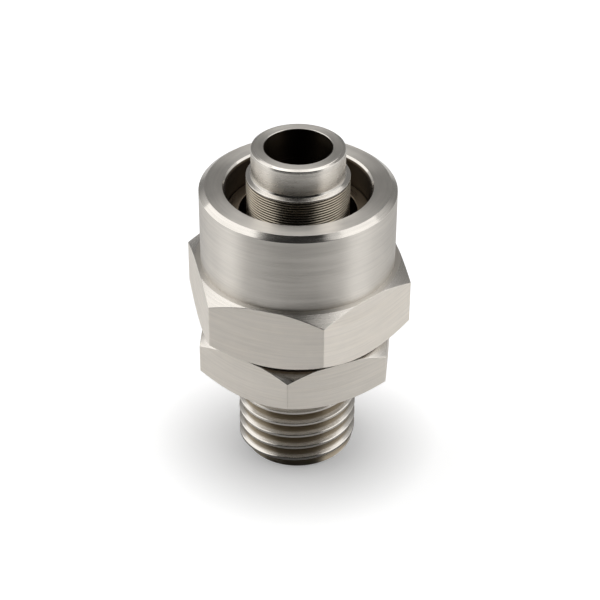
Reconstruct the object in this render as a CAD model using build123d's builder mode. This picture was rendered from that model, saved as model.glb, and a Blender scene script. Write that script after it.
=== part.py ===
from build123d import *
from math import cos, radians, tan
import os

# Straight hose connector, in millimetres. +Z runs up the axis, and the origin is the centre
# of the male thread's end face, on which the connector stands.
# The body is turned from one bar: male thread, hexagon, threaded boss, grooved hose spigot.
# The union nut screws down on the boss and squeezes a split clamping ring on to the hose.

# Driving dimensions of the male thread end. The thread's V is cut from below the end face up
# to a plain neck under the hexagon, and its crests and roots keep a share of the pitch.
thread_diameter = 12.0
thread_length = 10.3
thread_end_chamfer = 0.7
thread_pitch = 1.5
thread_neck_length = 1.6
thread_crest_share = 0.125
thread_root_share = 0.17
thread_flank_angle = 60.0
thread_lead_share = 0.87
thread_start_angle = 162.0
thread_overcut = 0.2

# Driving dimensions of the body's hexagon, whose flats stand out from the boss above it.
# A land is what the turned chamfer leaves of a hexagon's end face, given from its flats.
body_flat_margin = 1.25
body_hex_height = 5.1
body_top_land_margin = 0.25
body_bottom_land_margin = -0.5
body_hex_top_angle = 30.0
body_hex_bottom_angle = 36.0
hexagon_sides = 6
hexagon_turn = 30.0

# Driving dimensions of the threaded boss that carries the nut. Its diameter follows from the
# ring's pocket, and comes to 16 mm here.
boss_shoulder_width = 0.5
boss_thread_pitch = 1.0
boss_thread_depth_share = 0.613
neck_depth_share = 1.2
neck_height_share = 1.5
boss_height = 8.0

# Driving dimensions of the spigot that the hose is pushed over. The ring, the boss and the
# nut are worked out from its diameter outwards, and its tip and bore inwards. Its grooves
# are wider and fewer here than the real ones, which are 22 at 0.275 mm.
grip_diameter = 10.04
grip_length = 8.52
groove_pitch = 1.2
groove_depth = 0.12
groove_margin = 0.15
grooved_length = 6.1
step_height = 0.37
step_width = 0.48
tip_length = 2.71
tip_wall = 1.24
tip_chamfer_length = 0.50
tip_chamfer_width = 0.21

# Driving dimensions of the union nut
nut_flat_wall = 1.95
nut_turn_angle = 17.5
nut_gap = 0.25
nut_hex_height = 6.93
nut_top_land_margin = 0.12
nut_bottom_land_margin = -0.5
nut_hex_top_angle = 30.0
nut_hex_bottom_angle = 39.0
nut_entry_chamfer = 0.5
collar_wall = 1.52
collar_chamfer_length = 0.45
collar_chamfer_width = 0.58
mouth_depth = 2.9
mouth_bevel_length = 0.35
mouth_bevel_width = 0.29

# Driving dimensions of the clamping ring and of what it runs in
hose_gap = 0.73
ring_height = 4.5
ring_wall = 1.7
ring_slot_width = 1.5
ring_slot_angle = 100.0
ring_edge_chamfer = 0.3
clamp_half_angle = 16.0
clamp_depth = 0.5
thread_clearance = 0.05
ring_clearance = 0.05
shoulder_clearance = 0.5

# Radii worked out from the driving dimensions
thread_radius = thread_diameter / 2
thread_flank_slope = tan(radians(thread_flank_angle / 2))
thread_root_width = thread_root_share * thread_pitch
thread_gap_width = (1 - thread_crest_share) * thread_pitch
thread_depth = (thread_gap_width - thread_root_width) / 2 / thread_flank_slope
thread_cut_width = thread_gap_width + 2 * thread_overcut * thread_flank_slope
grip_radius = grip_diameter / 2
tip_radius = grip_radius - step_width
bore_radius = tip_radius - tip_wall
ring_inner_radius = grip_radius + hose_gap
ring_outer_radius = ring_inner_radius + ring_wall
pocket_radius = ring_outer_radius + ring_clearance
mouth_radius = pocket_radius - clamp_depth
seat_length = clamp_depth / tan(radians(clamp_half_angle))
boss_radius = pocket_radius + boss_shoulder_width
boss_thread_depth = boss_thread_depth_share * boss_thread_pitch
boss_neck_radius = boss_radius - neck_depth_share * boss_thread_depth
boss_neck_height = neck_height_share * boss_thread_pitch
nut_thread_radius = boss_radius + thread_clearance
collar_radius = nut_thread_radius + collar_wall
body_flat_radius = boss_radius + body_flat_margin
nut_flat_radius = nut_thread_radius + nut_flat_wall

# Heights worked out from the driving dimensions
thread_cut_bottom_z = -thread_lead_share * thread_pitch
thread_cut_height = thread_length - thread_neck_length - thread_cut_bottom_z
hex_bottom_z = thread_length
hex_top_z = hex_bottom_z + body_hex_height
boss_top_z = hex_top_z + boss_height
grip_top_z = boss_top_z + grip_length
step_top_z = grip_top_z + step_height
tip_top_z = step_top_z + tip_length
nut_bottom_z = hex_top_z + nut_gap
nut_hex_top_z = nut_bottom_z + nut_hex_height
ring_bottom_z = boss_top_z
ring_top_z = ring_bottom_z + ring_height
nut_top_z = ring_top_z + mouth_depth
seat_top_z = ring_top_z
seat_bottom_z = seat_top_z - seat_length
shoulder_z = boss_top_z + shoulder_clearance


def turned_envelope(bottom_z, top_z, flat_radius, bottom_margin, bottom_angle, top_margin, top_angle):
    """Half section of the blank that a lathe leaves round a hexagon: two cones on a cylinder."""
    corner_radius = flat_radius / cos(radians(180 / hexagon_sides))
    bottom_land = flat_radius + bottom_margin
    top_land = flat_radius + top_margin
    bottom_drop = (corner_radius - bottom_land) * tan(radians(bottom_angle))
    top_drop = (corner_radius - top_land) * tan(radians(top_angle))
    Polyline(
        (0, bottom_z),
        (bottom_land, bottom_z),
        (corner_radius, bottom_z + bottom_drop),
        (corner_radius, top_z - top_drop),
        (top_land, top_z),
        (0, top_z),
        close=True,
    )


def grooved_edge(radius, top_z):
    """Zigzag half section of the V grooves, going up, with their crests meeting."""
    count = int(grooved_length / groove_pitch)
    bottom_z = top_z - count * groove_pitch
    edge = [(radius, bottom_z)]
    for index in range(count):
        edge.append((radius - groove_depth, bottom_z + (index + 0.5) * groove_pitch))
        edge.append((radius, bottom_z + (index + 1) * groove_pitch))
    return edge


# The male thread's V as a solid, swept up a helix
with BuildPart() as thread_cut:
    with BuildLine() as thread_path:
        Helix(thread_pitch, thread_cut_height, thread_radius, center=(0, 0, thread_cut_bottom_z))
    with BuildSketch(
        Plane((thread_radius, 0, thread_cut_bottom_z), x_dir=(1, 0, 0), z_dir=(0, 1, 0))
    ):
        with BuildLine():
            Polyline(
                (-thread_depth, -thread_root_width / 2),
                (thread_overcut, -thread_cut_width / 2),
                (thread_overcut, thread_cut_width / 2),
                (-thread_depth, thread_root_width / 2),
                close=True,
            )
        make_face()
    sweep(path=thread_path.line, is_frenet=True)

# The male thread end, cut and then chamfered for its start. The body takes it in below.
with BuildPart() as thread_end:
    with BuildSketch(Plane.XY):
        Circle(thread_radius)
    extrude(amount=thread_length)
    add(thread_cut.part, rotation=(0, 0, thread_start_angle), mode=Mode.SUBTRACT)
    with BuildSketch(Plane.XZ):
        with BuildLine():
            Polyline(
                (0, 0),
                (thread_radius - thread_end_chamfer, 0),
                (thread_radius, thread_end_chamfer),
                (thread_radius, thread_length),
                (0, thread_length),
                close=True,
            )
        make_face()
    revolve(axis=Axis.Z, mode=Mode.INTERSECT)

# The body: one turned piece with its bore right through
with BuildPart() as body:
    with BuildSketch(Plane.XY.offset(hex_bottom_z)):
        RegularPolygon(
            body_flat_radius, hexagon_sides, major_radius=False, rotation=hexagon_turn
        )
    extrude(amount=body_hex_height)
    with BuildSketch(Plane.XZ):
        with BuildLine():
            turned_envelope(
                hex_bottom_z,
                hex_top_z,
                body_flat_radius,
                body_bottom_land_margin,
                body_hex_bottom_angle,
                body_top_land_margin,
                body_hex_top_angle,
            )
        make_face()
    revolve(axis=Axis.Z, mode=Mode.INTERSECT)

    add(thread_end.part)

    # Boss for the nut: a relieved neck, the thread's cylinder and its lead
    with BuildSketch(Plane.XZ):
        with BuildLine():
            Polyline(
                (0, hex_top_z),
                (boss_neck_radius, hex_top_z),
                (boss_neck_radius, hex_top_z + boss_neck_height - boss_thread_depth),
                (boss_radius, hex_top_z + boss_neck_height),
                (boss_radius, boss_top_z - boss_thread_depth),
                (boss_radius - boss_thread_depth, boss_top_z),
                (0, boss_top_z),
                close=True,
            )
        make_face()
    revolve(axis=Axis.Z)

    # Hose spigot: the gripping length with its grooves, a cone step and the plain pilot tip
    with BuildSketch(Plane.XZ):
        with BuildLine():
            Polyline(
                (0, boss_top_z),
                (grip_radius, boss_top_z),
                *grooved_edge(grip_radius, grip_top_z - groove_margin),
                (grip_radius, grip_top_z),
                (tip_radius, step_top_z),
                (tip_radius, tip_top_z - tip_chamfer_length),
                (tip_radius - tip_chamfer_width, tip_top_z),
                (0, tip_top_z),
                close=True,
            )
        make_face()
    revolve(axis=Axis.Z)

    # Bore from end to end
    with BuildSketch(Plane.XY):
        Circle(bore_radius)
    extrude(amount=tip_top_z, mode=Mode.SUBTRACT)

# The union nut: a hexagon below, a round collar above, and the ring's seat inside
with BuildPart() as nut:
    with BuildSketch(Plane.XY.offset(nut_bottom_z)):
        RegularPolygon(
            nut_flat_radius,
            hexagon_sides,
            major_radius=False,
            rotation=hexagon_turn + nut_turn_angle,
        )
    extrude(amount=nut_hex_height)
    with BuildSketch(Plane.XZ):
        with BuildLine():
            turned_envelope(
                nut_bottom_z,
                nut_hex_top_z,
                nut_flat_radius,
                nut_bottom_land_margin,
                nut_hex_bottom_angle,
                nut_top_land_margin,
                nut_hex_top_angle,
            )
        make_face()
    revolve(axis=Axis.Z, mode=Mode.INTERSECT)

    # Round collar with its chamfered rim
    with BuildSketch(Plane.XZ):
        with BuildLine():
            Polyline(
                (0, nut_hex_top_z),
                (collar_radius, nut_hex_top_z),
                (collar_radius, nut_top_z - collar_chamfer_length),
                (collar_radius - collar_chamfer_width, nut_top_z),
                (0, nut_top_z),
                close=True,
            )
        make_face()
    revolve(axis=Axis.Z)

    # Inside: entry, thread, shoulder, pocket for the ring, clamping cone, mouth and its bevel
    with BuildSketch(Plane.XZ):
        with BuildLine():
            Polyline(
                (0, nut_bottom_z),
                (nut_thread_radius + nut_entry_chamfer, nut_bottom_z),
                (nut_thread_radius, nut_bottom_z + nut_entry_chamfer),
                (nut_thread_radius, shoulder_z),
                (pocket_radius, shoulder_z),
                (pocket_radius, seat_bottom_z),
                (mouth_radius, seat_top_z),
                (mouth_radius, nut_top_z - mouth_bevel_length),
                (mouth_radius + mouth_bevel_width, nut_top_z),
                (0, nut_top_z),
                close=True,
            )
        make_face()
    revolve(axis=Axis.Z, mode=Mode.SUBTRACT)

# The clamping ring: it stands on the boss, fills the nut's pocket and is split through
with BuildPart() as clamping_ring:
    with BuildSketch(Plane.XZ):
        with BuildLine():
            Polyline(
                (ring_inner_radius + ring_edge_chamfer, ring_bottom_z),
                (ring_outer_radius - ring_edge_chamfer, ring_bottom_z),
                (ring_outer_radius, ring_bottom_z + ring_edge_chamfer),
                (ring_outer_radius, seat_bottom_z),
                (mouth_radius - ring_clearance, ring_top_z),
                (ring_inner_radius, ring_top_z),
                (ring_inner_radius, ring_bottom_z + ring_edge_chamfer),
                close=True,
            )
        make_face()
    revolve(axis=Axis.Z)
    slot_plane = Plane.XY.offset(ring_bottom_z).rotated((0, 0, ring_slot_angle))
    with BuildSketch(slot_plane):
        with Locations((ring_outer_radius / 2, 0)):
            Rectangle(ring_outer_radius, ring_slot_width)
    extrude(amount=ring_height, mode=Mode.SUBTRACT)

body.part.label = "body"
nut.part.label = "nut"
clamping_ring.part.label = "clamping_ring"

os.makedirs("parts", exist_ok=True)
export_step(body.part, "parts/body.step")
export_step(nut.part, "parts/nut.step")
export_step(clamping_ring.part, "parts/clamping_ring.step")
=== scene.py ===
from math import atan2, cos, pi, radians, sin, tan

import bmesh
import bpy
import numpy as np
from mathutils import Euler, Matrix, Vector


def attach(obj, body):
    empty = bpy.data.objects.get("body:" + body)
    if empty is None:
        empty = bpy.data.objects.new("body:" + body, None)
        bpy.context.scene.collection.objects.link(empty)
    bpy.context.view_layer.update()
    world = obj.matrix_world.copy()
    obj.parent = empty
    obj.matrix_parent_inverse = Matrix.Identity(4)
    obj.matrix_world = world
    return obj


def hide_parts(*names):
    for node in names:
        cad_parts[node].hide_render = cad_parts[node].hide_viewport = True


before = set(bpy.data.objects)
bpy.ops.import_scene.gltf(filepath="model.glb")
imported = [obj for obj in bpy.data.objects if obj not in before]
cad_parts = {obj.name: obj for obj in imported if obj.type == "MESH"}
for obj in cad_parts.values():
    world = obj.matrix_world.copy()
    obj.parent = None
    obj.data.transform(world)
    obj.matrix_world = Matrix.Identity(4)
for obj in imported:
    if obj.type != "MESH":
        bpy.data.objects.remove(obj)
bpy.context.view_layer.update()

# Straight hose connector on a white table. All sizes are in metres, in the frame of the packed
# model: +Z up the axis, the origin at the centre of the male thread's end face.
MM = 0.001
TURN = 2 * pi

# Male thread end
thread_radius = 6.0 * MM
thread_length = 10.3 * MM
thread_end_chamfer = 0.7 * MM
male_pitch = 1.5 * MM
male_depth = 0.61 * male_pitch
male_crest_share = 0.2
male_root_share = 0.17
male_front_crest = 1.42 * MM
male_neck_length = 0.6 * MM
male_run_out = 0.9 * male_pitch
bore_radius = 3.3 * MM
bore_edge = 0.06 * MM

# Body hexagon
body_flat = 9.25 * MM
body_hex_height = 5.1 * MM
body_top_land = 9.5 * MM
body_bottom_land = 8.75 * MM
body_top_angle = radians(30)
body_bottom_angle = radians(36)
body_corner_angle = radians(-90)

# Boss that carries the nut
boss_radius = 8.0 * MM
boss_pitch = 1.0 * MM
boss_depth = 0.6 * boss_pitch
boss_crest_share = 0.14
boss_root_share = 0.17
boss_phase = 0.0
boss_height = 8.0 * MM
boss_neck_height = 1.5 * MM
boss_neck_slope = 0.613 * MM
boss_neck_depth = 1.2 * boss_neck_slope
crest_rounding = 0.03

# Spigot
grip_radius = 5.02 * MM
grip_length = 8.52 * MM
groove_pitch = 0.275 * MM
groove_depth = 0.12 * MM
groove_margin = 0.15 * MM
groove_count = 22
groove_flat = 0.02 * MM
step_height = 0.37 * MM
step_ledge_height = 0.15 * MM
step_ledge_radius = 4.60 * MM
bore_lip = 1.0 * MM
tip_radius = 4.54 * MM
tip_length = 2.71 * MM
tip_edge_length = 0.36 * MM
tip_edge_taper = 0.03 * MM
tip_chamfer_length = 0.14 * MM
tip_chamfer_width = 0.32 * MM

# Nut
nut_flat = 10.0 * MM
nut_corner_angle = radians(-90 + 17.5)
nut_gap = 0.25 * MM
nut_length = 15.15 * MM
nut_hex_height = 6.93 * MM
nut_top_land = 10.12 * MM
nut_bottom_land = 9.5 * MM
nut_top_angle = radians(30)
nut_bottom_angle = radians(39)
nut_entry_chamfer = 0.5 * MM
nut_ridge_share = 0.86
nut_run_out = 0.4 * boss_pitch
nut_thread_stop = 0.3 * MM
collar_radius = 9.57 * MM
collar_chamfer_length = 0.45 * MM
collar_chamfer_width = 0.58 * MM
mouth_radius = 7.0 * MM
mouth_bevel_length = 0.35 * MM
mouth_bevel_width = 0.29 * MM

# Clamping ring and its pocket
ring_height = 4.5 * MM
ring_wall = 1.7 * MM
ring_slot_width = 1.5 * MM
ring_slot_angle = radians(100)
ring_edge = 0.3 * MM
clamp_depth = 0.5 * MM
clamp_half_angle = radians(16)
ring_clearance = 0.05 * MM
thread_clearance = 0.05 * MM
shoulder_clearance = 0.5 * MM

# Small edge roundings that catch the light, and the rows and columns that carry them
soft_edge = 0.07 * MM
sharp_edge = 0.035 * MM
tip_edge = 0.3 * MM
hex_corner_round = 0.14 * MM
edge_break = 0.03 * MM
hold_distance = 0.03 * MM
sharp_angle = radians(35)
ring_columns = 240

# Heights worked out from the sizes above
hex_bottom_z = thread_length
hex_top_z = hex_bottom_z + body_hex_height
boss_top_z = hex_top_z + boss_height
grip_top_z = boss_top_z + grip_length
step_top_z = grip_top_z + step_height
tip_top_z = step_top_z + tip_length
nut_bottom_z = hex_top_z + nut_gap
nut_hex_top_z = nut_bottom_z + nut_hex_height
nut_top_z = nut_bottom_z + nut_length
ring_bottom_z = boss_top_z
ring_top_z = ring_bottom_z + ring_height
pocket_radius = mouth_radius + clamp_depth
seat_bottom_z = ring_top_z - clamp_depth / tan(clamp_half_angle)
shoulder_z = boss_top_z + shoulder_clearance

# Camera, as fitted to the photograph
camera_azimuth = radians(4.93)
camera_elevation = radians(35.44)
camera_distance = 185.98 * MM
camera_aim_side = 0.244 * MM
camera_aim_height = 17.18 * MM
camera_roll = radians(0.34)
camera_lens = 111.53
front_angle = -pi / 2 + camera_azimuth

# Colours and finish. The two line counts are waves to a radian along the turning lines and to
# a metre across them, and the slant carries the lines on over end faces. A lean is how far a
# surface faces up or down.
plate_colour = (0.775, 0.737, 0.68)
ring_colour = (0.46, 0.37, 0.27)
# Painted shade: dark, brownish colours laid where shade falls, in thread roots, over the grooved
# band, in hollows and under the nut. Those zones are also made rougher.
painted_root_shade = (0.34, 0.29, 0.22)
painted_groove_shade = (0.50, 0.44, 0.35)
hollow_shade = (0.06, 0.045, 0.03)
under_shade = (0.16, 0.12, 0.08)
chamfer_roughness = 0.14
shade_zone_roughness = 0.12
line_unevenness = 0.04
cloud_unevenness = 0.02
wall_lean = (0.1, 0.3)
face_lean = (0.93, 0.98)
noise_range = (0.3, 0.7)
fine_lines = (1.8, 5600.0)
coarse_lines = (1.0, 1700.0)
fine_share = 0.65
clouds = 420.0
line_tone = (0.88, 1.03)
cloud_tone = (0.97, 1.03)
face_slant = -0.61
blend = 0.05 * MM
hexagon_inside = 8.4 * MM

# Light. Levels run from the front (0) round to the back (1), and are of plain white.
floor_levels = [(0.0, 0.55), (0.12, 0.62), (0.20, 0.72), (0.28, 0.78), (0.37, 0.92),
                (0.45, 0.85), (0.53, 0.66), (0.72, 0.50), (0.85, 0.52), (1.0, 0.60)]
floor_reach = 0.9
floor_pool_start = 60 * MM
floor_pool_end = 130 * MM
floor_front_start = 0.26
floor_front_end = 0.38
floor_contact_start = 5 * MM
floor_contact_end = 20 * MM
floor_shade_start = 6.5 * MM
floor_shade_end = 15 * MM
floor_shade_level = 0.45
floor_tone = 0.80
floor_glow = 0.60
sky_levels = [(0.0, 0.02), (0.29, 0.03), (0.37, 0.70), (0.66, 0.70), (0.80, 0.25), (1.0, 0.22)]
# Each soft box has an azimuth, elevation, distance, width, height and radiance.
lamps = {
    "left_box": (-92, 36, 0.35, 0.36, 0.36, 0.60),
    "right_box": (86, 34, 0.35, 0.30, 0.34, 0.55),
    "top_box": (180, 67, 0.4, 0.36, 0.30, 1.05),
}


def column_angles(corner_angle):
    """Angles of a mesh's columns: close together at a hexagon's corners, even between them."""
    near = np.radians([0.0, 0.16, 0.33, 0.5, 0.85, 1.5, 2.5])
    even = np.linspace(radians(4), radians(30), 15)
    half = np.concatenate([near, even])
    side = np.concatenate([half, (pi / 3 - half[1:-1])[::-1]])
    return np.concatenate([corner_angle + k * pi / 3 + side for k in range(6)])


def hexagon_reach(angles, corner_angle, flat):
    """Distance from the axis to a hexagon's outline, with its corners slightly rounded."""
    away = np.abs((angles - corner_angle + pi / 6) % (pi / 3) - pi / 6)
    reach = flat / np.cos(pi / 6 - away)
    centre = (flat - hex_corner_round) / cos(pi / 6)
    inside = np.maximum(hex_corner_round ** 2 - (centre * np.sin(away)) ** 2, 0)
    rounded = centre * np.cos(away) + np.sqrt(inside)
    tangent = atan2((flat * tan(pi / 6)) - hex_corner_round * tan(pi / 6), flat)
    return np.where(pi / 6 - away > tangent, rounded, reach)


def rounded_rows(points, radii, steps=4):
    """Rows of a profile whose corners are rounded. Each point is (radius, height), and either
    may be an array with one value for each column. Long stretches get a row near each end, so
    that their shading stays flat."""
    width = max(np.size(v) for point in points for v in point)
    corners = [np.stack([np.broadcast_to(v, width) for v in point], 1) for point in points]
    rows = [corners[0]]
    for k in range(1, len(corners) - 1):
        before = corners[k] - corners[k - 1]
        after = corners[k + 1] - corners[k]
        length_before = np.linalg.norm(before, axis=1)
        length_after = np.linalg.norm(after, axis=1)
        way_in = before / length_before[:, None]
        way_out = after / length_after[:, None]
        half_turn = np.arccos(np.clip((way_in * way_out).sum(1), -1, 1)) / 2
        room = 0.4 * np.minimum(length_before, length_after)
        reach = np.minimum(radii[k - 1] * np.tan(half_turn), room)[:, None]
        start = corners[k] - way_in * reach
        end = corners[k] + way_out * reach
        held = np.minimum(hold_distance, 0.2 * length_before)[:, None]
        rows.append(start - way_in * held)
        weight = np.cos(half_turn)[:, None]
        for step in range(steps + 1):
            u = step / steps
            share = (1 - u) ** 2 + 2 * u * (1 - u) * weight + u ** 2
            bent = (1 - u) ** 2 * start + 2 * u * (1 - u) * weight * corners[k] + u ** 2 * end
            rows.append(bent / share)
        held = np.minimum(hold_distance, 0.2 * length_after)[:, None]
        rows.append(end + way_out * held)
    rows.append(corners[-1])
    return rows


class Lathe:
    """Builds one closed mesh from rows of points round the axis."""

    def __init__(self, angles):
        self.angles = angles
        self.vertices = []
        self.faces = []

    def place(self, radius, height, angles=None):
        angles = self.angles if angles is None else angles
        radius = np.broadcast_to(radius, angles.shape)
        height = np.broadcast_to(height, angles.shape)
        first = len(self.vertices)
        self.vertices.extend(
            zip(radius * np.cos(angles), radius * np.sin(angles), height)
        )
        return first

    def rows(self, rows):
        """A band of rows, each (radius, height) for every column, joined into rings."""
        count = len(self.angles)
        starts = []
        for row in rows:
            row = np.broadcast_to(row, (count, 2))
            starts.append(self.place(row[:, 0], row[:, 1]))
        for low, high in zip(starts[:-1], starts[1:]):
            for j in range(count):
                k = (j + 1) % count
                self.faces.append((low + j, low + k, high + k, high + j))

    def thread(self, low_z, high_z, pitch, phase, breaks, radius_at):
        """A threaded band. Its rows climb with the helix, so that crests and roots are crisp,
        and they are held at the band's two ends. phase shifts the helix by a share of a turn,
        breaks are the shares of a pitch at which rows lie, and radius_at gives the surface at
        an angle and a height."""
        around = np.append(self.angles, self.angles[0] + TURN)
        climb = phase + around / TURN
        per_turn = len(breaks)
        first = int(low_z / pitch - climb[-1]) - 2
        turns = int((high_z - low_z) / pitch) + 5
        starts = []
        for row in range(turns * per_turn + 1):
            turn, part = divmod(row, per_turn)
            height = pitch * (first + turn + breaks[part] + climb)
            height = np.clip(height, low_z, high_z)
            starts.append(self.place(radius_at(around, height), height, around))
        for low, high in zip(starts[:-1], starts[1:]):
            for j in range(len(self.angles)):
                self.faces.append((low + j, low + j + 1, high + j + 1, high + j))

    def mesh(self, name):
        made = bpy.data.meshes.new(name)
        made.from_pydata([tuple(map(float, v)) for v in self.vertices], [], self.faces)
        work = bmesh.new()
        work.from_mesh(made)
        bmesh.ops.remove_doubles(work, verts=work.verts, dist=0.0004 * MM)
        bmesh.ops.dissolve_degenerate(work, edges=work.edges, dist=0.0002 * MM)
        bmesh.ops.recalc_face_normals(work, faces=work.faces)
        work.to_mesh(made)
        work.free()
        made.shade_smooth()
        made.set_sharp_from_angle(angle=sharp_angle)
        return made


def thread_shape(crest_share, root_share):
    """One pitch of a thread: shares of the pitch, and depth there from 0 at the crest to 1 at
    the root. The crest is centred on 0."""
    crest, root = crest_share / 2, 0.5 - root_share / 2
    share = [0.0, crest - crest_rounding, crest, crest + crest_rounding]
    depth = [0.0, 0.0, 0.04, 0.12]
    share += [root - crest_rounding, root, 0.5]
    depth += [0.9, 0.985, 1.0]
    share = np.array(share + [1 - s for s in share[-2:0:-1]])
    depth = np.array(depth + depth[-2:0:-1])
    return share, depth


def helix_depth(shape, angles, height, pitch, phase):
    share, depth = shape
    position = (height / pitch - angles / TURN - phase) % 1.0
    return np.interp(position, np.append(share, 1.0), np.append(depth, depth[0]))


male_shape = thread_shape(male_crest_share, male_root_share)
boss_shape = thread_shape(boss_crest_share, boss_root_share)
male_phase = male_front_crest / male_pitch - front_angle / TURN


def male_surface(angles, height):
    """Male thread: turned away at its chamfered end, and fading out under the hexagon."""
    fade = np.clip((thread_length - male_neck_length - height) / male_run_out, 0.0, 1.0)
    cut = male_depth * helix_depth(male_shape, angles, height, male_pitch, male_phase)
    chamfer = thread_radius - thread_end_chamfer + height
    return np.minimum(thread_radius - cut * fade, chamfer)


def boss_surface(angles, height):
    """Thread for the nut, with a chamfered lead at the top."""
    cut = boss_depth * helix_depth(boss_shape, angles, height, boss_pitch, boss_phase)
    lead = boss_radius - boss_depth + (boss_top_z - height)
    return np.minimum(boss_radius - cut, lead)


def nut_surface(angles, height):
    """Inside thread of the nut, which fills the boss's grooves with a running clearance."""
    depth = helix_depth(boss_shape, angles, height, boss_pitch, boss_phase)
    bottom = nut_bottom_z + nut_entry_chamfer
    fade_low = np.clip((height - bottom) / nut_run_out, 0.0, 1.0)
    fade_high = np.clip((shoulder_z - nut_thread_stop - height) / nut_run_out, 0.0, 1.0)
    ridge = nut_ridge_share * boss_depth * depth * fade_low * fade_high
    return boss_radius + thread_clearance - ridge


def hexagon_rows(angles, corner_angle, flat, low_z, high_z, low, high, inner_low, inner_high):
    """Rows from a hexagon's lower face, up its flats, to its upper face. low and high are
    (land radius, chamfer angle), and the faces start at the two inner radii."""
    reach = hexagon_reach(angles, corner_angle, flat)
    low_land = np.minimum(low[0], reach - edge_break)
    high_land = np.minimum(high[0], reach - edge_break)
    points = [
        (inner_low, low_z),
        (low_land, low_z),
        (reach, low_z + (reach - low_land) * tan(low[1])),
        (reach, high_z - (reach - high_land) * tan(high[1])),
        (high_land, high_z),
        (inner_high, high_z),
    ]
    return rounded_rows(points, [soft_edge, soft_edge, soft_edge, soft_edge])


def build_body():
    lathe = Lathe(column_angles(body_corner_angle))
    angles = lathe.angles

    def ring_of(radius_at, height):
        return np.stack([radius_at(angles, np.full(len(angles), height)),
                         np.full(len(angles), height)], 1)

    # End face, from the bore's edge out to the first turn of the thread
    start = ring_of(male_surface, 0.0)
    face_inner = [(bore_radius, bore_edge), (bore_radius + bore_edge, 0.0)]
    lathe.rows(face_inner + [start])
    lathe.thread(0.0, hex_bottom_z, male_pitch, male_phase, male_shape[0], male_surface)
    neck_radius = boss_radius - boss_neck_depth
    under = ring_of(male_surface, hex_bottom_z)
    hexagon = hexagon_rows(
        angles, body_corner_angle, body_flat, hex_bottom_z, hex_top_z,
        (body_bottom_land, body_bottom_angle), (body_top_land, body_top_angle),
        under[:, 0], neck_radius,
    )
    thread_start_z = hex_top_z + boss_neck_height
    boss_low = ring_of(boss_surface, thread_start_z)
    neck = [(neck_radius, thread_start_z - boss_neck_slope), boss_low]
    lathe.rows(hexagon + neck)
    lathe.thread(thread_start_z, boss_top_z, boss_pitch, boss_phase, boss_shape[0], boss_surface)

    # Boss face, grooved spigot, step and tip
    lathe.rows([ring_of(boss_surface, boss_top_z), (grip_radius, boss_top_z)])
    grip = [(grip_radius, boss_top_z)]
    groove_bottom = grip_top_z - groove_margin - groove_count * groove_pitch
    grip.append((grip_radius, groove_bottom - groove_flat))
    for index in range(groove_count):
        low = groove_bottom + index * groove_pitch
        grip.append((grip_radius, low + groove_flat))
        grip.append((grip_radius - groove_depth, low + groove_pitch / 2 - groove_flat))
        grip.append((grip_radius - groove_depth, low + groove_pitch / 2 + groove_flat))
        grip.append((grip_radius, low + groove_pitch - groove_flat))
    tip = rounded_rows(
        [
            (grip_radius, groove_bottom + groove_count * groove_pitch),
            (grip_radius, grip_top_z),
            (step_ledge_radius, grip_top_z + step_ledge_height),
            (tip_radius, step_top_z),
            (tip_radius, tip_top_z - tip_edge_length),
            (tip_radius - tip_edge_taper, tip_top_z - tip_chamfer_length),
            (tip_radius - tip_chamfer_width, tip_top_z),
            (bore_radius, tip_top_z),
            (bore_radius, tip_top_z - bore_lip),
        ],
        [soft_edge, soft_edge, soft_edge, tip_edge, soft_edge, tip_edge, soft_edge],
    )
    bore = [(bore_radius, tip_top_z / 2), (bore_radius, bore_edge)]
    lathe.rows(grip + tip + bore)
    return lathe.mesh("body_turned")


def build_nut():
    lathe = Lathe(column_angles(nut_corner_angle))
    angles = lathe.angles
    thread_low = nut_bottom_z + nut_entry_chamfer
    bore = boss_radius + thread_clearance
    hexagon = hexagon_rows(
        angles, nut_corner_angle, nut_flat, nut_bottom_z, nut_hex_top_z,
        (nut_bottom_land, nut_bottom_angle), (nut_top_land, nut_top_angle),
        bore + nut_entry_chamfer, collar_radius,
    )
    shell = rounded_rows(
        [
            (collar_radius, nut_hex_top_z),
            (collar_radius, nut_top_z - collar_chamfer_length),
            (collar_radius - collar_chamfer_width, nut_top_z),
            (mouth_radius + mouth_bevel_width, nut_top_z),
            (mouth_radius, nut_top_z - mouth_bevel_length),
            (mouth_radius, ring_top_z),
            (pocket_radius, seat_bottom_z),
            (pocket_radius, shoulder_z),
            (bore, shoulder_z),
        ],
        [sharp_edge] * 7,
    )
    lathe.rows([(bore, thread_low)] + hexagon + shell[1:])
    lathe.thread(thread_low, shoulder_z, boss_pitch, boss_phase, boss_shape[0], nut_surface)
    return lathe.mesh("nut_turned")


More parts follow.
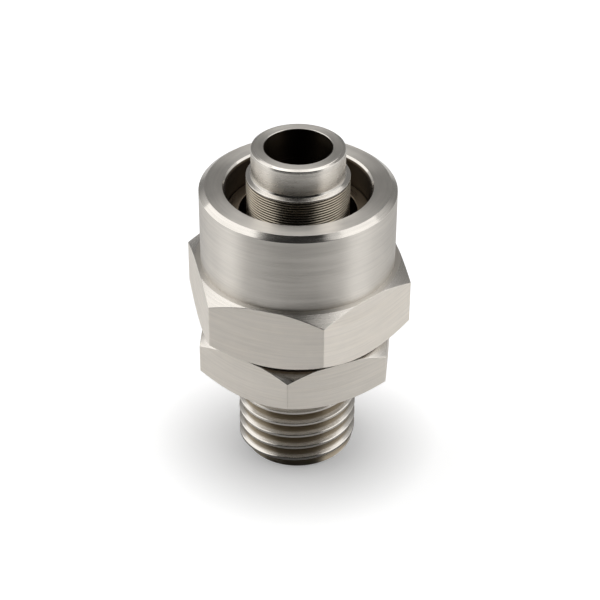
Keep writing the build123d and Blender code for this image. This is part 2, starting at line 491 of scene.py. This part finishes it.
def build_ring():
    """Split clamping ring: a closed section swept round to the two walls of its slot."""
    outer = pocket_radius - ring_clearance
    inner = outer - ring_wall
    section = rounded_rows(
        [
            (inner, (ring_bottom_z + ring_top_z) / 2),
            (inner, ring_bottom_z + ring_edge),
            (inner + ring_edge, ring_bottom_z),
            (outer - ring_edge, ring_bottom_z),
            (outer, ring_bottom_z + ring_edge),
            (outer, seat_bottom_z),
            (mouth_radius - ring_clearance, ring_top_z),
            (inner, ring_top_z),
            (inner, (ring_bottom_z + ring_top_z) / 2),
        ],
        [sharp_edge, sharp_edge, sharp_edge, sharp_edge, soft_edge, soft_edge, soft_edge],
    )
    section = [np.asarray(row).reshape(-1)[:2] for row in section[:-1]]
    vertices, faces = [], []
    for j in range(ring_columns + 1):
        for radius, height in section:
            edge = np.arcsin(ring_slot_width / 2 / radius)
            angle = ring_slot_angle + edge + (TURN - 2 * edge) * j / ring_columns
            vertices.append((radius * cos(angle), radius * sin(angle), height))
    count = len(section)
    for j in range(ring_columns):
        for i in range(count):
            k = (i + 1) % count
            faces.append((j * count + i, j * count + k, (j + 1) * count + k, (j + 1) * count + i))
    faces.append(tuple(range(count)))
    faces.append(tuple(ring_columns * count + i for i in reversed(range(count))))
    made = bpy.data.meshes.new("clamping_ring_turned")
    made.from_pydata(vertices, [], faces)
    work = bmesh.new()
    work.from_mesh(made)
    bmesh.ops.recalc_face_normals(work, faces=work.faces)
    work.to_mesh(made)
    work.free()
    made.shade_smooth()
    made.set_sharp_from_angle(angle=sharp_angle)
    return made


class Shader:
    """A few short forms for making nodes."""

    def __init__(self, name):
        self.material = bpy.data.materials.new(name)
        self.material.use_nodes = True
        self.tree = self.material.node_tree
        self.tree.nodes.clear()

    def node(self, kind, **settings):
        made = self.tree.nodes.new(kind)
        for key, value in settings.items():
            setattr(made, key, value)
        return made

    def join(self, source, target):
        self.tree.links.new(source, target)

    def math(self, operation, first, second=None, third=None):
        made = self.node("ShaderNodeMath", operation=operation)
        for socket, value in zip(made.inputs, (first, second, third)):
            if value is None:
                continue
            if hasattr(value, "is_linked"):
                self.join(value, socket)
            else:
                socket.default_value = value
        return made.outputs[0]

    def noise(self, vector, scale, detail=2.0, roughness=0.5):
        made = self.node("ShaderNodeTexNoise")
        made.inputs["Scale"].default_value = scale
        made.inputs["Detail"].default_value = detail
        made.inputs["Roughness"].default_value = roughness
        self.join(vector, made.inputs["Vector"])
        return made.outputs["Fac"]

    def metal(self, colour, roughness, normal, anisotropy):
        """Metal that shines across the lines turned round the axis."""
        made = self.node("ShaderNodeBsdfPrincipled")
        made.inputs["Metallic"].default_value = 1.0
        made.inputs["Anisotropic"].default_value = anisotropy
        made.inputs["Anisotropic Rotation"].default_value = 0.25
        tangent = self.node("ShaderNodeTangent", direction_type="RADIAL", axis="Z")
        self.join(tangent.outputs[0], made.inputs["Tangent"])
        self.join(colour, made.inputs["Base Color"])
        self.join(roughness, made.inputs["Roughness"])
        self.join(normal, made.inputs["Normal"])
        return made.outputs[0]

    def blend(self, share, first, second):
        made = self.node("ShaderNodeMixShader")
        self.join(share, made.inputs[0])
        self.join(first, made.inputs[1])
        self.join(second, made.inputs[2])
        return made.outputs[0]

    def finish(self, surface):
        self.join(surface, self.node("ShaderNodeOutputMaterial").inputs[0])

    def cylinder(self, place):
        """Distance from the axis, height, and a measure that grows across the turning lines
        on walls and on end faces alike."""
        parts = self.node("ShaderNodeSeparateXYZ")
        self.join(place, parts.inputs[0])
        x, y, z = parts.outputs
        square = self.math("MULTIPLY_ADD", x, x, self.math("MULTIPLY", y, y))
        radius = self.math("SQRT", square)
        return radius, z, self.math("MULTIPLY_ADD", radius, face_slant, z)

    def line_vector(self, place, across, along_scale, across_scale):
        """Texture coordinates whose lines run round the axis."""
        level = self.node("ShaderNodeVectorMath", operation="MULTIPLY")
        self.join(place, level.inputs[0])
        level.inputs[1].default_value = (1.0, 1.0, 0.0)
        outward = self.node("ShaderNodeVectorMath", operation="NORMALIZE")
        self.join(level.outputs[0], outward.inputs[0])
        length = self.node("ShaderNodeVectorMath", operation="SCALE")
        self.join(outward.outputs[0], length.inputs[0])
        length.inputs["Scale"].default_value = along_scale
        lift = self.node("ShaderNodeCombineXYZ")
        self.join(self.math("MULTIPLY", across, across_scale), lift.inputs[2])
        both = self.node("ShaderNodeVectorMath", operation="ADD")
        self.join(length.outputs[0], both.inputs[0])
        self.join(lift.outputs[0], both.inputs[1])
        return both.outputs[0]

    def spread(self, value, low, high, to_low, to_high):
        made = self.node("ShaderNodeMapRange")
        made.inputs["From Min"].default_value = low
        made.inputs["From Max"].default_value = high
        made.inputs["To Min"].default_value = to_low
        made.inputs["To Max"].default_value = to_high
        self.join(value, made.inputs["Value"])
        return made.outputs["Result"]


def plated_metal(name, colour, finish):
    """Nickel plate over turned brass. Turned walls and end faces shine along their lines,
    chamfers are polished, hexagon flats are rough in every direction and their colour is lifted
    as painted light, and the zones of painted shade (see the calls) are painted dark and brown,
    and rougher."""
    shader = Shader(name)
    place = shader.node("ShaderNodeTexCoord").outputs["Object"]
    radius, height, across = shader.cylinder(place)
    normal = shader.node("ShaderNodeSeparateXYZ")
    shader.join(shader.node("ShaderNodeTexCoord").outputs["Normal"], normal.inputs[0])
    lean = shader.math("ABSOLUTE", normal.outputs[2])
    upright = shader.spread(lean, *wall_lean, 1.0, 0.0)
    level = shader.spread(lean, *face_lean, 0.0, 1.0)

    fine = shader.noise(shader.line_vector(place, across, *fine_lines), 1.0, 2.0, 0.6)
    coarse = shader.noise(shader.line_vector(place, across, *coarse_lines), 1.0, 2.0, 0.5)
    cloud = shader.noise(place, clouds, 3.0, 0.55)
    streak = shader.math("MULTIPLY_ADD", fine, fine_share,
                         shader.math("MULTIPLY", coarse, 1.0 - fine_share))
    bump = shader.node("ShaderNodeBump")
    bump.inputs["Strength"].default_value = 1.0
    bump.inputs["Distance"].default_value = finish["line_depth"]
    shader.join(streak, bump.inputs["Height"])

    # Painted shade: each zone lays its dark colour where shade falls, and the zones are made
    # rougher.
    zones = []
    for inner, outer, bottom, top, shade in finish["painted_shade_zones"]:
        zone = shader.spread(radius, inner, outer, 1.0, 0.0)
        zone = shader.math("MULTIPLY", zone, shader.spread(height, bottom, bottom + blend, 0, 1))
        zone = shader.math("MULTIPLY", zone, shader.spread(height, top - blend, top, 1, 0))
        zones.append((zone, shade))
    painted_shade_mask = zones[0][0]
    for zone, shade in zones[1:]:
        painted_shade_mask = shader.math("MAXIMUM", painted_shade_mask, zone)

    turned = shader.math("MULTIPLY_ADD", upright, finish["wall_roughness"], chamfer_roughness)
    turned = shader.math("MULTIPLY_ADD", level, finish["face_roughness"], turned)
    uneven = shader.math(
        "ADD", shader.spread(coarse, *noise_range, -line_unevenness, line_unevenness),
        shader.spread(cloud, *noise_range, -cloud_unevenness, cloud_unevenness))
    turned = shader.math("ADD", turned, uneven)
    turned = shader.math("MULTIPLY_ADD", painted_shade_mask, shade_zone_roughness, turned)
    below = shader.spread(height, finish["hexagon_top"], finish["hexagon_top"] + blend, 1.0, 0.0)
    turned = shader.math("MULTIPLY_ADD", below, finish["low_roughness"], turned)

    flats = shader.math("MULTIPLY", upright, shader.spread(
        radius, hexagon_inside, hexagon_inside + blend, 0.0, 1.0))
    flats = shader.math("MULTIPLY", flats, below)
    tone = shader.spread(streak, *noise_range, *line_tone)
    tone = shader.math("MULTIPLY", tone, shader.spread(cloud, *noise_range, *cloud_tone))
    # Painted light: the hexagon flats' colour is lifted, so that they look brighter.
    tone = shader.math("MULTIPLY_ADD", flats, finish["painted_flat_light"], tone)
    scale = shader.node("ShaderNodeVectorMath", operation="SCALE")
    scale.inputs[0].default_value = colour
    shader.join(tone, scale.inputs["Scale"])
    plate = scale.outputs[0]
    for zone, shade in zones:
        mix = shader.node("ShaderNodeMix", data_type="RGBA")
        shader.join(zone, mix.inputs["Factor"])
        shader.join(plate, mix.inputs["A"])
        mix.inputs["B"].default_value = (*shade, 1.0)
        plate = mix.outputs["Result"]

    lined = shader.metal(plate, turned, bump.outputs[0], finish["anisotropy"])
    rough = shader.math("ADD", uneven, finish["flat_roughness"])
    plain = shader.metal(plate, rough, bump.outputs[0], 0.0)
    shader.finish(shader.blend(flats, lined, plain))
    return shader.material


def add_piece(mesh, name, body, node, material):
    piece = bpy.data.objects.new(name, mesh)
    bpy.context.scene.collection.objects.link(piece)
    mesh.materials.append(material)
    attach(piece, body)
    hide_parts(node)


def around(shader_tree, direction):
    """How far a direction or place is turned from the front, 0 there and 1 at the back."""
    parts = shader_tree.nodes.new("ShaderNodeSeparateXYZ")
    shader_tree.links.new(direction, parts.inputs[0])
    angle = shader_tree.nodes.new("ShaderNodeMath")
    angle.operation = "ARCTAN2"
    side = shader_tree.nodes.new("ShaderNodeMath")
    side.operation = "ABSOLUTE"
    ahead = shader_tree.nodes.new("ShaderNodeMath")
    ahead.operation = "MULTIPLY"
    ahead.inputs[1].default_value = -1.0
    shader_tree.links.new(parts.outputs[0], side.inputs[0])
    shader_tree.links.new(parts.outputs[1], ahead.inputs[0])
    shader_tree.links.new(side.outputs[0], angle.inputs[0])
    shader_tree.links.new(ahead.outputs[0], angle.inputs[1])
    share = shader_tree.nodes.new("ShaderNodeMath")
    share.operation = "MULTIPLY"
    share.inputs[1].default_value = 1 / pi
    shader_tree.links.new(angle.outputs[0], share.inputs[0])
    return share.outputs[0]


def grey_ramp(tree, value, stops):
    """A smooth run of greys over 0 to 1. A stop is (place, level)."""
    ramp = tree.nodes.new("ShaderNodeValToRGB")
    ramp.color_ramp.interpolation = "EASE"
    while len(ramp.color_ramp.elements) < len(stops):
        ramp.color_ramp.elements.new(0.5)
    for element, (place, level) in zip(ramp.color_ramp.elements, stops):
        element.position = place
        element.color = (level, level, level, 1)
    tree.links.new(value, ramp.inputs[0])
    return ramp.outputs[0]


def add_floor():
    """White table. To the camera it is white with the connector's shadow on it, and in the
    metal's reflections it darkens towards the front, as a table does where its lamps end."""
    mesh = bpy.data.meshes.new("floor")
    signs = [(-1, -1), (1, -1), (1, 1), (-1, 1)]
    mesh.from_pydata([(x * floor_reach, y * floor_reach, 0) for x, y in signs], [], [(0, 1, 2, 3)])
    floor = bpy.data.objects.new("floor", mesh)
    bpy.context.scene.collection.objects.link(floor)

    shader = Shader("white_table")
    output = shader.node("ShaderNodeOutputMaterial")
    path = shader.node("ShaderNodeLightPath")
    place = shader.node("ShaderNodeTexCoord").outputs["Object"]
    turned_away = around(shader.tree, place)
    level = grey_ramp(shader.tree, turned_away, floor_levels)
    distance = shader.node("ShaderNodeVectorMath", operation="LENGTH")
    shader.join(place, distance.inputs[0])
    far = shader.spread(distance.outputs["Value"], floor_pool_start, floor_pool_end, 0.0, 1.0)
    front = shader.spread(turned_away, floor_front_start, floor_front_end, 1.0, 0.0)
    level = shader.math("MULTIPLY", level, shader.math(
        "SUBTRACT", 1.0, shader.math("MULTIPLY", far, front)))
    level = shader.math("MULTIPLY", level, shader.spread(
        distance.outputs["Value"], floor_contact_start, floor_contact_end, 0.0, 1.0))
    glossy = path.outputs["Is Glossy Ray"]
    level = shader.math("MULTIPLY_ADD", shader.math("SUBTRACT", level, 1.0), glossy, 1.0)

    diffuse = shader.node("ShaderNodeBsdfDiffuse")
    shade = shader.node("ShaderNodeVectorMath", operation="SCALE")
    shade.inputs[0].default_value = (floor_tone, floor_tone, floor_tone)
    shader.join(level, shade.inputs["Scale"])
    shader.join(shade.outputs[0], diffuse.inputs["Color"])
    glow = shader.node("ShaderNodeEmission")
    seen = shader.math("MAXIMUM", path.outputs["Is Camera Ray"], glossy)
    shade_level = shader.spread(distance.outputs["Value"], floor_shade_start, floor_shade_end,
                                floor_shade_level * floor_glow, floor_glow)
    strength = shader.math("MULTIPLY", shader.math("MULTIPLY", seen, level), shade_level)
    shader.join(strength, glow.inputs["Strength"])
    both = shader.node("ShaderNodeAddShader")
    shader.join(diffuse.outputs[0], both.inputs[0])
    shader.join(glow.outputs[0], both.inputs[1])
    shader.join(both.outputs[0], output.inputs[0])
    mesh.materials.append(shader.material)


def add_world():
    """White background for the camera, and a soft studio for the light."""
    world = bpy.data.worlds.new("studio")
    bpy.context.scene.world = world
    world.use_nodes = True
    tree = world.node_tree
    tree.nodes.clear()
    output = tree.nodes.new("ShaderNodeOutputWorld")
    path = tree.nodes.new("ShaderNodeLightPath")
    white = tree.nodes.new("ShaderNodeBackground")
    white.inputs["Strength"].default_value = 1.0
    studio = tree.nodes.new("ShaderNodeBackground")
    direction = tree.nodes.new("ShaderNodeTexCoord").outputs["Generated"]
    side = grey_ramp(tree, around(tree, direction), sky_levels)
    tree.links.new(side, studio.inputs["Color"])
    mix = tree.nodes.new("ShaderNodeMixShader")
    tree.links.new(path.outputs["Is Camera Ray"], mix.inputs[0])
    tree.links.new(studio.outputs[0], mix.inputs[1])
    tree.links.new(white.outputs[0], mix.inputs[2])
    tree.links.new(mix.outputs[0], output.inputs[0])


def add_lamp(name, azimuth, elevation, distance, width, height, radiance):
    """A soft box that faces the connector. Azimuth 0 is at -Y, the camera's side."""
    data = bpy.data.lights.new(name, "AREA")
    data.shape = "RECTANGLE"
    data.size = width
    data.size_y = height
    data.energy = radiance * pi * width * height
    lamp = bpy.data.objects.new(name, data)
    bpy.context.scene.collection.objects.link(lamp)
    a, e = radians(azimuth), radians(elevation)
    back = Vector((sin(a) * cos(e), -cos(a) * cos(e), sin(e)))
    lamp.location = Vector((0, 0, nut_top_z / 2)) + back * distance
    lamp.rotation_euler = back.to_track_quat("Z", "Y").to_euler()


def add_camera():
    data = bpy.data.cameras.new("camera")
    data.sensor_width = 36.0
    data.lens = camera_lens
    data.clip_start = 0.01
    data.clip_end = 5.0
    camera = bpy.data.objects.new("camera", data)
    bpy.context.scene.collection.objects.link(camera)
    bpy.context.scene.camera = camera
    turn = Matrix.Rotation(camera_azimuth, 4, "Z")
    aim = Matrix.Translation((camera_aim_side, 0, camera_aim_height))
    tilt = Euler((pi / 2 - camera_elevation, 0, 0)).to_matrix().to_4x4()
    roll = Matrix.Rotation(camera_roll, 4, "Z")
    camera.matrix_world = turn @ aim @ tilt @ Matrix.Translation((0, 0, camera_distance)) @ roll


add_camera()
body_metal = plated_metal("body_plating", plate_colour, {
    "anisotropy": 0.8, "line_depth": 0.004 * MM,
    # The lift of the hexagon flats' colour is painted light.
    "wall_roughness": 0.12, "face_roughness": 0.20, "flat_roughness": 0.66, "painted_flat_light": 0.15,
    "low_roughness": 0.06, "hexagon_top": hex_top_z,
    # Painted shade: dark colours in the male thread's roots, down the bore, over the grooved band
    # and in its groove bottoms.
    "painted_shade_zones": [
        (thread_radius - 0.5 * male_depth, thread_radius - 0.25 * male_depth, 0.0, hex_bottom_z,
         painted_root_shade),
        (bore_radius, bore_radius + blend, -blend, tip_top_z - blend, hollow_shade),
        (grip_radius + blend, grip_radius + 2 * blend, boss_top_z,
         grip_top_z - groove_margin, painted_groove_shade),
        (grip_radius - 0.8 * groove_depth, grip_radius - 0.4 * groove_depth, boss_top_z,
         grip_top_z - groove_margin, hollow_shade),
    ],
})
nut_metal = plated_metal("nut_plating", plate_colour, {
    "anisotropy": 0.85, "line_depth": 0.005 * MM,
    # The lift of the hexagon flats' colour is painted light.
    "wall_roughness": 0.26, "face_roughness": 0.22, "flat_roughness": 0.66, "painted_flat_light": 0.24,
    "low_roughness": 0.12, "hexagon_top": nut_hex_top_z,
    # Painted shade: a near-black colour inside the nut, and a dark brown one under it.
    "painted_shade_zones": [
        (boss_radius + 2 * thread_clearance, boss_radius + 2 * thread_clearance + blend,
         nut_bottom_z, nut_top_z - 0.5 * mouth_bevel_length, hollow_shade),
        (nut_flat - 5 * blend, nut_flat - blend, nut_bottom_z - 2 * blend,
         nut_bottom_z + nut_entry_chamfer, under_shade),
    ],
})
ring_metal = plated_metal("ring_plating", ring_colour, {
    "anisotropy": 0.4, "line_depth": 0.004 * MM,
    "wall_roughness": 0.18, "face_roughness": 0.18, "flat_roughness": 0.4, "painted_flat_light": 0.1,
    "low_roughness": 0.0, "hexagon_top": 0.0,
    # Painted shade: a near-black colour over the ring below its top face, where it sits in the
    # nut's pocket.
    "painted_shade_zones": [(pocket_radius, pocket_radius + blend, ring_bottom_z - blend,
                    ring_top_z - blend, hollow_shade)],
})
add_piece(build_body(), "body_turned", "body", "body", body_metal)
add_piece(build_nut(), "nut_turned", "nut", "nut", nut_metal)
add_piece(build_ring(), "clamping_ring_turned", "ring", "clamping_ring", ring_metal)

add_floor()
add_world()
for lamp_name, placing in lamps.items():
    add_lamp(lamp_name, *placing)

scene = bpy.context.scene
scene.view_settings.view_transform = "Standard"
